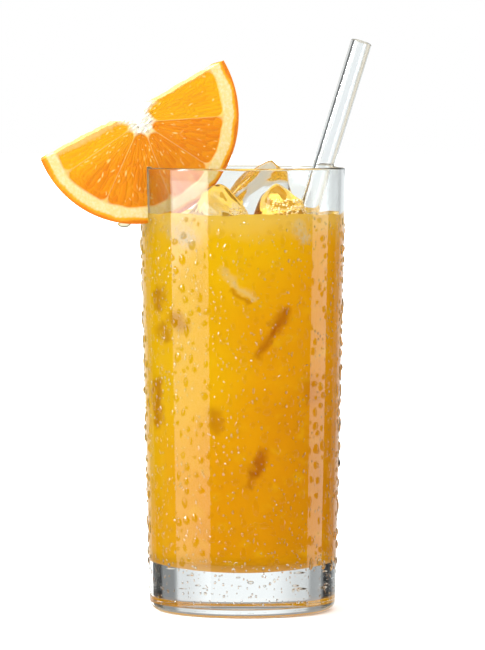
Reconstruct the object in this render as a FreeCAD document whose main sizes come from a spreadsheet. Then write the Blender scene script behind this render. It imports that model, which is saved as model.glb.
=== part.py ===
import FreeCAD, Part
"""Tall tumbler of orange juice with three ice blocks, a glass straw and an orange slice.

Millimetres. +Z is up, and the origin is the centre of the tumbler's flat underside, on its
axis. +X is to the right and -Y is to the front. The slice hangs on the left of the rim, the
straw leans on the right of it, and every other size follows from the sheet of dimensions.
"""
import math
import os

import Sketcher
from FreeCAD import Placement, Rotation, Vector

# Each driving size: its alias in the sheet, its value and what it measures.
SIZES = (
    ("glass_height", 140.0, "tumbler, underside to rim"),
    ("rim_radius", 32.5, "outer radius at the rim"),
    ("foot_radius", 29.35, "outer radius at the underside, before its rounding"),
    ("wall", 1.6, "thickness of the tumbler's wall, measured level"),
    ("rim_round", 0.7, "rounding of the rim's two edges"),
    ("heel_round", 3.1, "rounding where the wall meets the underside"),
    ("floor_thick", 12.8, "solid glass under the drink, on the axis"),
    ("bowl_radius", 92.0, "radius of the dished floor"),
    ("floor_corner", 4.0, "rounding between the floor and the wall"),
    ("fill_level", 124.7, "height of the drink's surface"),
    ("fill_gap", 0.1, "clearance between the drink and what it touches"),
    ("straw_radius", 3.35, "outer radius of the straw"),
    ("straw_bore", 2.4, "radius of the straw's bore"),
    ("straw_length", 173.0, "length of the straw"),
    ("straw_round", 0.35, "rounding of the straw's ends"),
    ("straw_seat", 20.9, "direction from the axis to where the straw crosses the rim, degrees"),
    ("straw_foot", 16.4, "distance from the axis to the foot of the straw"),
    ("straw_foot_turn", 217.8, "direction from the axis to the foot of the straw, degrees"),
    ("seat_gap", 0.3, "clearance where one piece rests on another"),
    ("slice_radius", 33.7, "radius of the orange"),
    ("slice_thick", 7.0, "thickness of the slice"),
    ("slice_yaw", 17.1, "turn of the slice to the front, about the tumbler's axis, degrees"),
    ("slice_reach", 4.06, "from the middle of the wall out to the centre of the slice"),
    ("core_right", 1.68, "from the slice's centre right to where its segments meet"),
    ("core_down", 1.7, "from the slice's centre down to where its segments meet"),
    ("cut_left", 200.7, "direction of the slice's left cut edge, degrees"),
    ("cut_right", 394.8, "direction of the slice's right cut edge, degrees"),
    ("slit_length", 18.1, "from the rind in to the end of the slit"),
    ("rind", 5.6, "zest and pith together"),
    ("membrane", 0.9, "skin between two segments"),
    ("core_radius", 3.4, "pith around the middle of the slice"),
    ("pulp_dip", 0.35, "how far the pulp lies below the skins, on each face"),
    ("ice_round", 5.5, "rounding of the ice"),
    ("ice_draft", 3.0, "taper of each side of the ice, degrees"),
)

# The blocks of ice and their sizes. A block's rise is from the drink's surface to its middle,
# its turn is about Z and its lean is to the right. The back one lies along the straw, whose
# lean it shares, so that it has a gap from the straw in place of right and lean.
ICE = {
    "ice_left": {"across": 23.0, "deep": 15.5, "tall": 22.0, "right": -8.8, "back": -16.6,
                 "rise": -1.1, "turn": 17.0, "lean": -6.0},
    "ice_back": {"across": 23.0, "deep": 20.0, "tall": 25.0, "back": 13.8, "rise": 4.0,
                 "turn": 0.0, "gap": 1.2},
    "ice_right": {"across": 20.0, "deep": 17.0, "tall": 20.5, "right": 14.4, "back": -11.0,
                  "rise": -2.4, "turn": 0.0, "lean": 20.0},
}

# Directions of the skins between the segments, in degrees from level, seen from the front.
SKINS = (212.9, 244.9, 292.3, 327.8, 363.8)

WALL_MIDDLE = "(dims.rim_radius - dims.wall / 2)"


def make_sheet(doc):
    """Write every driving size into the sheet, each under its own alias."""
    sheet = doc.addObject("Spreadsheet::Sheet", "dims")
    rows = list(SIZES)
    for block, sizes in ICE.items():
        rows += [(f"{block}_{word}", value, f"{block}, {word}") for word, value in sizes.items()]
    rows += [(f"skin_{index}", angle, "direction of a skin, degrees")
             for index, angle in enumerate(SKINS)]
    for row, (alias, value, words) in enumerate(rows, start=1):
        sheet.set(f"A{row}", words)
        sheet.set(f"B{row}", str(value))
        sheet.setAlias(f"B{row}", alias)
    doc.recompute()
    return sheet


def bind(thing, **expressions):
    """Tie properties of an object to expressions over the sheet."""
    for name, expression in expressions.items():
        thing.setExpression(name.replace("__", "."), expression)


def place(thing, base, turns):
    """Tie an object's place to expressions: base is x, y, z and turns is a list of rotations."""
    spot = f"vector({'; '.join(base)})"
    chain = " * ".join(f"rotation(vector({axis}); {angle})" for axis, angle in turns)
    thing.setExpression("Placement", f"placement({spot}; {chain})")


def new_sketch(body, role, name):
    """Start a sketch on one of the body's own origin planes."""
    sketch = body.newObject("Sketcher::SketchObject", name)
    plane = next(item for item in body.Origin.OriginFeatures if item.Role == role)
    sketch.AttachmentSupport = (plane, "")
    sketch.MapMode = "FlatFace"
    return sketch


def add_line(sketch, start, end, construction=False):
    """Add a straight line between two points of the sketch."""
    return sketch.addGeometry(Part.LineSegment(Vector(*start), Vector(*end)), construction)


def join(sketch, *pairs):
    """Make pairs of end points, each (edge, end), meet."""
    for first, second in pairs:
        sketch.addConstraint(Sketcher.Constraint("Coincident", *first, *second))


def set_measures(sketch, rows):
    """Add several dimensions, drawn at their final values so that none turns inside out."""
    for kind, where, name, expression, value in rows:
        index = sketch.addConstraint(Sketcher.Constraint(kind, *where, value))
        sketch.renameConstraint(index, name)
        sketch.setExpression(f"Constraints.{name}", expression)


def floor_meet(sheet, inset):
    """Radius and height at which the dished floor meets the wall, both moved in by inset."""
    bowl = sheet.bowl_radius - inset
    slope = (sheet.rim_radius - sheet.foot_radius) / sheet.glass_height
    radius = sheet.foot_radius - sheet.wall - inset
    height = 0.0
    for _ in range(20):
        reach = radius + slope * height
        height = sheet.floor_thick + sheet.bowl_radius - math.sqrt(bowl ** 2 - reach ** 2)
    return radius + slope * height, height


def floor_arc(sketch, sheet, inset):
    """Draw the dished floor from the axis out to the wall."""
    reach, height = floor_meet(sheet, inset)
    bowl = sheet.bowl_radius - inset
    centre = Vector(0, sheet.floor_thick + sheet.bowl_radius)
    circle = Part.Circle(centre, Vector(0, 0, 1), bowl)
    end = math.atan2(height - centre.y, reach)
    return sketch.addGeometry(Part.ArcOfCircle(circle, -math.pi / 2, end), False)


def revolve(body, sketch):
    """Turn a half outline about the vertical axis."""
    turned = body.newObject("PartDesign::Revolution", f"{body.Name}_turned")
    turned.Profile = sketch
    turned.ReferenceAxis = (sketch, ["V_Axis"])
    turned.Angle = 360.0
    body.Document.recompute()
    return turned


def round_rings(body, feature, name, rings, radius):
    """Round the circular edges that lie at the given (radius, height) pairs."""
    found = []
    for number, edge in enumerate(feature.Shape.Edges, start=1):
        if edge.Degenerated or not isinstance(edge.Curve, Part.Circle):
            continue
        size, level = edge.Curve.Radius, edge.Curve.Center.z
        if any(abs(size - ring[0]) < 0.01 and abs(level - ring[1]) < 0.01 for ring in rings):
            found.append(f"Edge{number}")
    if len(found) != len(rings):
        raise RuntimeError(f"{name}: {len(found)} edges for {len(rings)} rings")
    rounding = body.newObject("PartDesign::Fillet", name)
    rounding.Base = (feature, found)
    rounding.setExpression("Radius", radius)
    body.Document.recompute()
    return rounding


def make_glass(doc, sheet):
    """The tumbler: a thick dished base, a tapered wall and a rounded rim."""
    body = doc.addObject("PartDesign::Body", "glass")
    sketch = new_sketch(body, "XZ_Plane", "glass_outline")
    foot, rim, top = sheet.foot_radius, sheet.rim_radius, sheet.glass_height
    reach, height = floor_meet(sheet, 0.0)
    under = add_line(sketch, (0, 0), (foot, 0))
    outer = add_line(sketch, (foot, 0), (rim, top))
    lip = add_line(sketch, (rim, top), (rim - sheet.wall, top))
    inner = add_line(sketch, (rim - sheet.wall, top), (reach, height))
    dish = floor_arc(sketch, sheet, 0.0)
    axis = add_line(sketch, (0, sheet.floor_thick), (0, 0))
    join(sketch, ((under, 1), (-1, 1)), ((under, 2), (outer, 1)), ((outer, 2), (lip, 1)),
         ((lip, 2), (inner, 1)), ((inner, 2), (dish, 2)), ((dish, 1), (axis, 1)),
         ((axis, 2), (under, 1)))
    sketch.addConstraint([Sketcher.Constraint("Horizontal", under),
                          Sketcher.Constraint("Horizontal", lip),
                          Sketcher.Constraint("Vertical", axis),
                          Sketcher.Constraint("Parallel", outer, inner),
                          Sketcher.Constraint("PointOnObject", dish, 3, -2)])
    set_measures(sketch, (
        ("DistanceX", (under, 1, under, 2), "foot", "dims.foot_radius", foot),
        ("DistanceX", (-1, 1, outer, 2), "rim", "dims.rim_radius", rim),
        ("DistanceY", (-1, 1, outer, 2), "tall", "dims.glass_height", top),
        ("DistanceX", (lip, 2, lip, 1), "thick", "dims.wall", sheet.wall),
        ("DistanceY", (-1, 1, dish, 1), "base", "dims.floor_thick", sheet.floor_thick),
        ("Radius", (dish,), "bowl", "dims.bowl_radius", sheet.bowl_radius)))
    turned = revolve(body, sketch)
    heel = round_rings(body, turned, "heel", [(foot, 0.0)], "dims.heel_round")
    corner = round_rings(body, heel, "corner", [(reach, height)], "dims.floor_corner")
    round_rings(body, corner, "rim", [(rim, top), (rim - sheet.wall, top)],
                "min(dims.rim_round; dims.wall * 0.45)")
    return body


def make_fill(doc, sheet):
    """All the room that the drink takes up in the tumbler, before anything stands in it."""
    body = doc.addObject("PartDesign::Body", "fill")
    sketch = new_sketch(body, "XZ_Plane", "fill_outline")
    inset = sheet.wall + sheet.fill_gap
    slope = (sheet.rim_radius - sheet.foot_radius) / sheet.glass_height
    low, high, top = sheet.foot_radius - inset, sheet.rim_radius - inset, sheet.glass_height
    brim = low + slope * sheet.fill_level
    base = sheet.floor_thick + sheet.fill_gap
    reach, height = floor_meet(sheet, sheet.fill_gap)
    guide = add_line(sketch, (low, 0), (high, top), construction=True)
    axis = add_line(sketch, (0, base), (0, sheet.fill_level))
    level = add_line(sketch, (0, sheet.fill_level), (brim, sheet.fill_level))
    side = add_line(sketch, (brim, sheet.fill_level), (reach, height))
    dish = floor_arc(sketch, sheet, sheet.fill_gap)
    join(sketch, ((axis, 2), (level, 1)), ((level, 2), (side, 1)), ((side, 2), (dish, 2)),
         ((dish, 1), (axis, 1)))
    sketch.addConstraint([Sketcher.Constraint("PointOnObject", axis, 1, -2),
                          Sketcher.Constraint("Vertical", axis),
                          Sketcher.Constraint("Horizontal", level),
                          Sketcher.Constraint("PointOnObject", guide, 1, -1),
                          Sketcher.Constraint("PointOnObject", side, 1, guide),
                          Sketcher.Constraint("PointOnObject", side, 2, guide),
                          Sketcher.Constraint("PointOnObject", dish, 3, -2)])
    inset_words = "dims.wall - dims.fill_gap"
    set_measures(sketch, (
        ("DistanceX", (-1, 1, guide, 1), "low", f"dims.foot_radius - {inset_words}", low),
        ("DistanceX", (-1, 1, guide, 2), "high", f"dims.rim_radius - {inset_words}", high),
        ("DistanceY", (-1, 1, guide, 2), "tall", "dims.glass_height", top),
        ("DistanceY", (-1, 1, axis, 2), "level", "dims.fill_level", sheet.fill_level),
        ("DistanceY", (-1, 1, axis, 1), "base", "dims.floor_thick + dims.fill_gap", base),
        ("Radius", (dish,), "bowl", "dims.bowl_radius - dims.fill_gap",
         sheet.bowl_radius - sheet.fill_gap)))
    turned = revolve(body, sketch)
    round_rings(body, turned, "fill_corner", [(reach, height)],
                "dims.floor_corner - dims.fill_gap")
    return body


def straw_ends(sheet):
    """The middle of the straw's foot, just over the dished floor, and its direction."""
    turn, seat = math.radians(sheet.straw_foot_turn), math.radians(sheet.straw_seat)
    foot = Vector(math.cos(turn), math.sin(turn)) * sheet.straw_foot
    inside = sheet.rim_radius - sheet.wall - sheet.seat_gap
    aim = Vector(math.cos(seat), math.sin(seat)) * (inside - sheet.straw_radius)
    aim.z = sheet.glass_height
    foot.z = sheet.floor_thick
    lean = (aim - foot).normalize().getAngle(Vector(0, 0, 1))
    dish = sheet.bowl_radius - math.sqrt(sheet.bowl_radius ** 2 - sheet.straw_foot ** 2)
    foot.z += dish + sheet.seat_gap + sheet.straw_radius * math.sin(lean)
    axis = aim - foot
    spare = (inside - sheet.straw_radius / math.cos(lean)) / (inside - sheet.straw_radius)
    axis.x, axis.y = aim.x * spare - foot.x, aim.y * spare - foot.y
    return foot, axis.normalize()


def make_tube(doc, sheet, name, grow):
    """A straight tube with rounded ends; grow thickens its wall and its ends on every side."""
    body = doc.addObject("PartDesign::Body", name)
    sketch = new_sketch(body, "XY_Plane", f"{name}_ring")
    rings = (("outside", f"dims.straw_radius + {grow}", sheet.straw_radius),
             ("bore", f"dims.straw_bore - {grow}", sheet.straw_bore))
    for ring, words, value in rings:
        circle = sketch.addGeometry(Part.Circle(Vector(), Vector(0, 0, 1), value), False)
        join(sketch, ((circle, 3), (-1, 1)))
        set_measures(sketch, (("Radius", (circle,), ring, words, value),))
    bind(sketch, AttachmentOffset__Base__z=f"-({grow})")
    pad = body.newObject("PartDesign::Pad", f"{name}_pad")
    pad.Profile = sketch
    bind(pad, Length=f"dims.straw_length + 2 * {grow}")
    doc.recompute()
    rounding = body.newObject("PartDesign::Fillet", f"{name}_ends")
    ends = [f"Edge{number}" for number, edge in enumerate(pad.Shape.Edges, start=1)
            if isinstance(edge.Curve, Part.Circle)]
    rounding.Base = (pad, ends)
    rounding.setExpression(
        "Radius", "min(dims.straw_round; (dims.straw_radius - dims.straw_bore) * 0.45)")
    foot, axis = straw_ends(sheet)
    body.Placement = Placement(foot, Rotation(Vector(0, 0, 1), axis))
    return body


def ice_place(sheet, block):
    """Where a block of ice lies: the back one against the straw, the others on their own."""
    sizes = {word: sheet.getPropertyByName(f"{block}_{word}") for word in ICE[block]}
    middle = Vector(0, sizes["back"], sheet.fill_level + sizes["rise"])
    if "gap" in sizes:
        foot, axis = straw_ends(sheet)
        slope = axis.x / axis.z
        aside = sheet.straw_radius + sizes["gap"] + sizes["across"] / 2
        middle.x = foot.x + slope * (middle.z - foot.z) - aside * math.hypot(1, slope)
        lean = math.degrees(math.atan(slope))
    else:
        middle.x, lean = sizes["right"], sizes["lean"]
    turn = Rotation(Vector(0, 0, 1), sizes["turn"])
    return Placement(middle, turn * Rotation(Vector(0, 1, 0), lean))


def make_ice(doc, sheet, name, block, grow):
    """A rounded block of ice with drafted sides; grow makes it larger on every side."""
    body = doc.addObject("PartDesign::Body", name)
    sketch = new_sketch(body, "XY_Plane", f"{name}_square")
    across, deep = ICE[block]["across"], ICE[block]["deep"]
    corners = [(-across / 2, -deep / 2), (across / 2, -deep / 2),
               (across / 2, deep / 2), (-across / 2, deep / 2)]
    sides = [add_line(sketch, corners[i], corners[(i + 1) % 4]) for i in range(4)]
    join(sketch, *[((sides[i], 2), (sides[(i + 1) % 4], 1)) for i in range(4)])
    for i, kind in enumerate(("Horizontal", "Vertical") * 2):
        sketch.addConstraint(Sketcher.Constraint(kind, sides[i]))
    sketch.addConstraint(Sketcher.Constraint("Symmetric", sides[0], 1, sides[1], 2, -1, 1))
    set_measures(sketch, (
        ("DistanceX", (sides[0], 1, sides[0], 2), "across",
         f"dims.{block}_across + 2 * {grow}", across),
        ("DistanceY", (sides[1], 1, sides[1], 2), "deep",
         f"dims.{block}_deep + 2 * {grow}", deep)))
    bind(sketch, AttachmentOffset__Base__z=f"-dims.{block}_tall / 2 - {grow}")
    pad = body.newObject("PartDesign::Pad", f"{name}_pad")
    pad.Profile = sketch
    bind(pad, Length=f"dims.{block}_tall + 2 * {grow}", TaperAngle="-dims.ice_draft")
    doc.recompute()
    rounding = body.newObject("PartDesign::Fillet", f"{name}_round")
    rounding.Base = (pad, [f"Edge{i + 1}" for i in range(len(pad.Shape.Edges))])
    bind(rounding, Radius=f"dims.ice_round + {grow}")
    body.Placement = ice_place(sheet, block)
    return body


def slice_place(thing, out):
    """Hang a piece at the slice's centre, out mm in front of its middle plane."""
    reach = f"({WALL_MIDDLE} + dims.slice_reach)"
    place(thing, [f"-{reach} * cos(dims.slice_yaw) + ({out}) * sin(dims.slice_yaw)",
                  f"-{reach} * sin(dims.slice_yaw) - ({out}) * cos(dims.slice_yaw)",
                  "dims.glass_height + dims.seat_gap + dims.slice_radius - dims.slit_length"],
          [("0; 0; 1", "dims.slice_yaw"), ("1; 0; 0", "90")])


def make_wheel(doc, name, grow):
    """A round slice of the whole fruit, standing on edge; grow makes it larger all round."""
    wheel = doc.addObject("Part::Cylinder", name)
    bind(wheel, Radius=f"dims.slice_radius + {grow}", Height=f"dims.slice_thick + 2 * {grow}")
    slice_place(wheel, f"-dims.slice_thick / 2 - {grow}")
    return wheel


def polar(centre, angle, distance):
    """The point at a distance and a direction in degrees from a centre."""
    turn = math.radians(angle)
    return centre + Vector(math.cos(turn), math.sin(turn)) * distance


def prism(points, thick):
    """A straight-sided prism over a closed outline, even about its middle plane."""
    face = Part.Face(Part.makePolygon(list(points) + [points[0]]))
    face.translate(Vector(0, 0, -thick / 2))
    return face.extrude(Vector(0, 0, thick))


def cut_away_sector(sheet, core):
    """The part of the wheel above the slice's two cut edges."""
    far = 2.5 * sheet.slice_radius
    sweep = sheet.cut_left + 360 - sheet.cut_right
    turns = [sheet.cut_right + sweep * step / 3 for step in range(4)]
    return prism([core] + [polar(core, turn, far) for turn in turns], 2 * sheet.slice_thick)


def cut_away_slit(sheet):
    """The slit, which leans with the wall of the tumbler that it straddles."""
    slope = (sheet.rim_radius - sheet.foot_radius) / sheet.glass_height
    half = sheet.wall / 2 + sheet.seat_gap + sheet.fill_gap
    end = sheet.slit_length - sheet.slice_radius
    low = -1.2 * sheet.slice_radius
    drift = slope * (end - low)
    middle = sheet.slice_reach
    outline = [Vector(middle - half, end), Vector(middle + half, end),
               Vector(middle + drift + half, low), Vector(middle + drift - half, low)]
    return prism(outline, 2 * sheet.slice_thick)


def pulp_hollow(sheet, core, first, last):
    """One segment's shallow hollow: a wedge between two skins, inside the rind."""
    outer = sheet.slice_radius - sheet.rind
    half = sheet.membrane / 2
    middle = math.radians(last - first) / 2
    tip = max(sheet.core_radius, half / math.sin(middle) + half)
    apex = polar(core, (first + last) / 2, half / math.sin(middle))
    ends = [polar(apex, turn, 2 * outer) for turn in (first, (first + last) / 2, last)]
    wedge = prism([apex] + ends, sheet.slice_thick)
    ring = Part.makeCylinder(outer, sheet.slice_thick, Vector(0, 0, -sheet.slice_thick / 2))
    middle_pith = Part.makeCylinder(tip, sheet.slice_thick,
                                    core - Vector(0, 0, sheet.slice_thick / 2))
    return wedge.common(ring).cut(middle_pith)


def make_slice(doc, sheet):
    """The slice: a little over half a wheel, with its slit and its six shallow segments."""
    core = Vector(sheet.core_right, -sheet.core_down)
    skins = [sheet.getPropertyByName(f"skin_{index}") for index in range(len(SKINS))]
    turns = [sheet.cut_left] + skins + [sheet.cut_right]
    hollows = []
    for first, last in zip(turns, turns[1:]):
        hollow = pulp_hollow(sheet, core, first, last)
        for side in (1, -1):
            shallow = hollow.copy()
            shallow.translate(Vector(0, 0, side * (sheet.slice_thick - sheet.pulp_dip)))
            hollows.append(shallow)
    room = doc.addObject("Part::Feature", "slice_cuts")
    room.Shape = Part.makeCompound([cut_away_sector(sheet, core), cut_away_slit(sheet)] + hollows)
    slice_place(room, "0")
    cut = doc.addObject("Part::Cut", "orange_slice")
    cut.Base = make_wheel(doc, "slice_wheel", "0")
    cut.Tool = room
    return cut


def make_juice(doc, sheet):
    """The drink: everything up to its level, cut round the straw, the ice and the slice."""
    gap = "dims.fill_gap"
    rooms = [make_tube(doc, sheet, "straw_room", gap), make_wheel(doc, "slice_room", gap)]
    rooms += [make_ice(doc, sheet, f"{block}_room", block, gap) for block in ICE]
    taken = doc.addObject("Part::MultiFuse", "taken_room")
    taken.Shapes = rooms
    cut = doc.addObject("Part::Cut", "juice")
    cut.Base = make_fill(doc, sheet)
    cut.Tool = taken
    return cut


def check(doc, pieces):
    """Stop if any object failed, or if a piece isn't one sound solid."""
    for thing in doc.Objects:
        if {"Invalid", "Error"} & set(thing.State):
            raise RuntimeError(f"{thing.Name}: {thing.State}")
    for piece in pieces:
        shape = piece.Shape
        if shape.isNull() or not shape.isValid() or len(shape.Solids) != 1:
            raise RuntimeError(f"{piece.Label}: not one sound solid ({len(shape.Solids)})")
        box = shape.BoundBox
        print(f"{piece.Label:13s} {shape.Volume / 1000:8.2f} ml  "
              f"x {box.XMin:6.1f} {box.XMax:6.1f}  y {box.YMin:6.1f} {box.YMax:6.1f}  "
              f"z {box.ZMin:6.1f} {box.ZMax:6.1f}")


def main():
    """Build the document, check it and write one file for each piece."""
    doc = FreeCAD.newDocument("juice_glass")
    sheet = make_sheet(doc)
    pieces = [make_glass(doc, sheet), make_juice(doc, sheet),
              make_tube(doc, sheet, "straw", "0"), make_slice(doc, sheet)]
    pieces += [make_ice(doc, sheet, block, block, "0") for block in ICE]
    for piece in pieces:
        piece.Label = piece.Name
    doc.recompute()
    check(doc, pieces)
    os.makedirs("parts", exist_ok=True)
    for piece in pieces:
        piece.Shape.exportStep(f"parts/{piece.Label}.step")


main()
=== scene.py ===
import logging
import math
from dataclasses import dataclass, field
from enum import Enum
from typing import Callable, Iterable, Sequence

import bmesh
import bpy
import numpy as np
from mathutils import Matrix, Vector


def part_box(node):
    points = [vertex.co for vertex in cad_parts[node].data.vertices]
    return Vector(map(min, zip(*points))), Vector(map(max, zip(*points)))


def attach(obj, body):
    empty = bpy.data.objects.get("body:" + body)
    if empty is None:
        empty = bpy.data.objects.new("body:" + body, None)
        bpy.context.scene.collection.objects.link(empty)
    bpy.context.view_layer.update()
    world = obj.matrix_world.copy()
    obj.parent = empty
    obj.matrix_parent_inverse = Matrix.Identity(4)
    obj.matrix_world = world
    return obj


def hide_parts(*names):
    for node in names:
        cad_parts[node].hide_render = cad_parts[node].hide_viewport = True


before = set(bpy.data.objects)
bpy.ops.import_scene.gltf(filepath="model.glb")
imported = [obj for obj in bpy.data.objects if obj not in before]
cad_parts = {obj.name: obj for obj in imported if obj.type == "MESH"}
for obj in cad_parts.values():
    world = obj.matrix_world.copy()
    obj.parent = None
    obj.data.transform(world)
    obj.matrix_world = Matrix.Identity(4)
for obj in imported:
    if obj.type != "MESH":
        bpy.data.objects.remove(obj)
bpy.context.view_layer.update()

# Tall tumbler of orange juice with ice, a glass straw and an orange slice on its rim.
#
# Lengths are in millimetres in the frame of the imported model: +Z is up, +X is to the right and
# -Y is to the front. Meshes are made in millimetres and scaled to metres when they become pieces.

LOG = logging.getLogger("juice_glass")
MM = 0.001
Colour = tuple[float, float, float]
Point = tuple[float, float, float]


# ----------------------------------------------------------------------------- shader maths


def srgb(red: float, green: float, blue: float) -> Colour:
    """Turn a display colour, 0 to 255, into linear light.

    Args:
        red, green, blue: the display values.

    Returns:
        The linear colour, 0 to 1.
    """
    def linear(value: float) -> float:
        """One channel in linear light."""
        share = value / 255.0
        return share / 12.92 if share <= 0.04045 else ((share + 0.055) / 1.055) ** 2.4

    return linear(red), linear(green), linear(blue)


def behind_glass(red: float, green: float, blue: float, light: float = 1.0) -> Colour:
    """The colour a drink needs to look like a display colour through the wall of its glass.

    Light that leaves the drink is partly thrown back by the glass and coloured again, which
    darkens and deepens what is seen, so the drink itself is made paler.

    Args:
        red, green, blue: the display colour that is wanted.
        light: how strongly the drink is lit.

    Returns:
        The linear colour of the drink.
    """
    kept, thrown_back, palest = 0.676, 0.273, 0.94
    return tuple(min(palest, wanted / light / (kept + thrown_back * wanted / light))
                 for wanted in srgb(red, green, blue))


class Wire:
    """A socket's output that takes part in Python expressions."""

    def __init__(self, graph: "Graph", socket: bpy.types.NodeSocket) -> None:
        """Wrap a socket of a graph."""
        self.graph = graph
        self.socket = socket

    def _maths(self, operation: str, *values: "Wire | float") -> "Wire":
        """Add a Math node for one operation."""
        return self.graph.node("ShaderNodeMath", {"operation": operation}, list(values))

    def __add__(self, other: "Wire | float") -> "Wire":
        """Sum."""
        return self._maths("ADD", self, other)

    def __radd__(self, other: float) -> "Wire":
        """Sum with a number first."""
        return self._maths("ADD", other, self)

    def __sub__(self, other: "Wire | float") -> "Wire":
        """Difference."""
        return self._maths("SUBTRACT", self, other)

    def __rsub__(self, other: float) -> "Wire":
        """Difference from a number."""
        return self._maths("SUBTRACT", other, self)

    def __mul__(self, other: "Wire | float") -> "Wire":
        """Product."""
        return self._maths("MULTIPLY", self, other)

    def __rmul__(self, other: float) -> "Wire":
        """Product with a number first."""
        return self._maths("MULTIPLY", other, self)

    def __truediv__(self, other: "Wire | float") -> "Wire":
        """Quotient."""
        return self._maths("DIVIDE", self, other)

    def __rtruediv__(self, other: float) -> "Wire":
        """Quotient of a number."""
        return self._maths("DIVIDE", other, self)

    def __pow__(self, other: float) -> "Wire":
        """Power."""
        return self._maths("POWER", self, other)

    def __neg__(self) -> "Wire":
        """Opposite sign."""
        return self._maths("MULTIPLY", self, -1.0)

    def apply(self, operation: str, *others: "Wire | float") -> "Wire":
        """Any other Math operation on this value, by its name."""
        return self._maths(operation, self, *others)

    def step(self, low: float, high: float) -> "Wire":
        """A smooth step that is 0 below low and 1 above high, or the reverse if high is less.

        Args:
            low: where the step is 0.
            high: where it is 1.

        Returns:
            The step, 0 to 1.
        """
        settings = {"interpolation_type": "SMOOTHSTEP", "clamp": True}
        if low <= high:
            return self.graph.node("ShaderNodeMapRange", settings,
                                   {"Value": self, "From Min": low, "From Max": high})
        return self.graph.node("ShaderNodeMapRange", settings,
                               {"Value": self, "From Min": high, "From Max": low,
                                "To Min": 1.0, "To Max": 0.0})

    def band(self, low: float, high: float, soft: float) -> "Wire":
        """A smooth window from low to high whose two edges are soft wide."""
        return self.step(low - soft, low) * self.step(high + soft, high)

    def vector(self, operation: str, *others: "Wire | Point", out: str = "Vector") -> "Wire":
        """A Vector Math operation on this vector."""
        return self.graph.node("ShaderNodeVectorMath", {"operation": operation},
                               [self, *others], out)

    def parts(self) -> tuple["Wire", "Wire", "Wire"]:
        """The three components of this vector."""
        node = self.graph.raw("ShaderNodeSeparateXYZ", {}, [self])
        return tuple(Wire(self.graph, socket) for socket in node.outputs)


class Graph:
    """Adds nodes to one material's or world's tree."""

    def __init__(self, tree: bpy.types.NodeTree) -> None:
        """Start on an emptied tree."""
        self.tree = tree
        tree.nodes.clear()

    def raw(self, kind: str, settings: dict, inputs: dict | list) -> bpy.types.Node:
        """Add a node, set it up and fill its sockets.

        Args:
            kind: the node's type name.
            settings: properties, set first; "stops" fills a colour ramp.
            inputs: values or wires by socket name, or in the order of the sockets.

        Returns:
            The node.
        """
        node = self.tree.nodes.new(kind)
        for name, value in settings.items():
            if name == "stops":
                self._fill_ramp(node.color_ramp, value)
            else:
                setattr(node, name, value)
        pairs = inputs.items() if isinstance(inputs, dict) else enumerate(inputs)
        for key, value in pairs:
            socket = node.inputs[key]
            if isinstance(value, Wire):
                self.tree.links.new(value.socket, socket)
            elif isinstance(value, tuple) and socket.type == "RGBA" and len(value) == 3:
                socket.default_value = (*value, 1.0)
            else:
                socket.default_value = value
        return node

    @staticmethod
    def _fill_ramp(ramp: bpy.types.ColorRamp, stops: Sequence[tuple[float, Colour]]) -> None:
        """Give a colour ramp its stops."""
        while len(ramp.elements) < len(stops):
            ramp.elements.new(1.0)
        for element, (place, colour) in zip(ramp.elements, stops):
            element.position = place
            element.color = (*colour, 1.0)

    def node(self, kind: str, settings: dict | None = None, inputs: dict | list | None = None,
             out: str | int = 0) -> Wire:
        """Add a node as raw does and return one of its outputs as a wire."""
        made = self.raw(kind, settings or {}, inputs or {})
        return Wire(self, made.outputs[out])

    def mix(self, share: "Wire | float", first: "Wire | Colour", second: "Wire | Colour") -> Wire:
        """Blend two colours.

        Args:
            share: 0 for the first colour, 1 for the second.
            first, second: the colours.

        Returns:
            The blended colour.
        """
        node = self.tree.nodes.new("ShaderNodeMix")
        node.data_type = "RGBA"
        for index, value in ((0, share), (6, first), (7, second)):
            if isinstance(value, Wire):
                self.tree.links.new(value.socket, node.inputs[index])
            else:
                node.inputs[index].default_value = (*value, 1.0) if index else value
        return Wire(self, node.outputs[2])

    def place(self) -> Wire:
        """The point on the piece, in its own metres."""
        return self.node("ShaderNodeTexCoord", out="Object")

    def noise(self, scale: float, detail: float = 2.0, at: "Wire | None" = None,
              stretch: Point = (1.0, 1.0, 1.0), out: str = "Fac") -> Wire:
        """Cloudy noise, scale in features to a millimetre.

        Args:
            scale: features in one millimetre.
            detail: how many finer octaves are added.
            at: where it is read; the piece's own point if not given.
            stretch: factors on the three axes.
            out: "Fac" or "Color".

        Returns:
            The noise, about 0.5 in the mean.
        """
        point = (at or self.place()).vector("MULTIPLY", stretch)
        return self.node("ShaderNodeTexNoise", {},
                         {"Vector": point, "Scale": scale / MM, "Detail": detail}, out)

    def attribute(self, name: str) -> Wire:
        """A number stored on the mesh's points."""
        return self.node("ShaderNodeAttribute", {"attribute_name": name}, {}, "Fac")

    def bump(self, height: Wire, depth: float, strength: float = 1.0) -> Wire:
        """A surface relief, depth in millimetres for a height of one."""
        return self.node("ShaderNodeBump", {},
                         {"Height": height, "Distance": depth * MM, "Strength": strength})


def new_material(name: str, settings: dict, dress: Callable[[Graph], dict]) -> bpy.types.Material:
    """Make a material with one main shader.

    Args:
        name: the material's name.
        settings: plain values for the shader's own sockets.
        dress: adds nodes and returns wires for the sockets that change over the surface.

    Returns:
        The material.
    """
    material = bpy.data.materials.new(name)
    material.use_nodes = True
    graph = Graph(material.node_tree)
    shader = graph.raw("ShaderNodeBsdfPrincipled", {}, {**settings, **dress(graph)})
    graph.raw("ShaderNodeOutputMaterial", {}, {"Surface": Wire(graph, shader.outputs[0])})
    return material


# ----------------------------------------------------------------------------- mesh making


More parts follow.
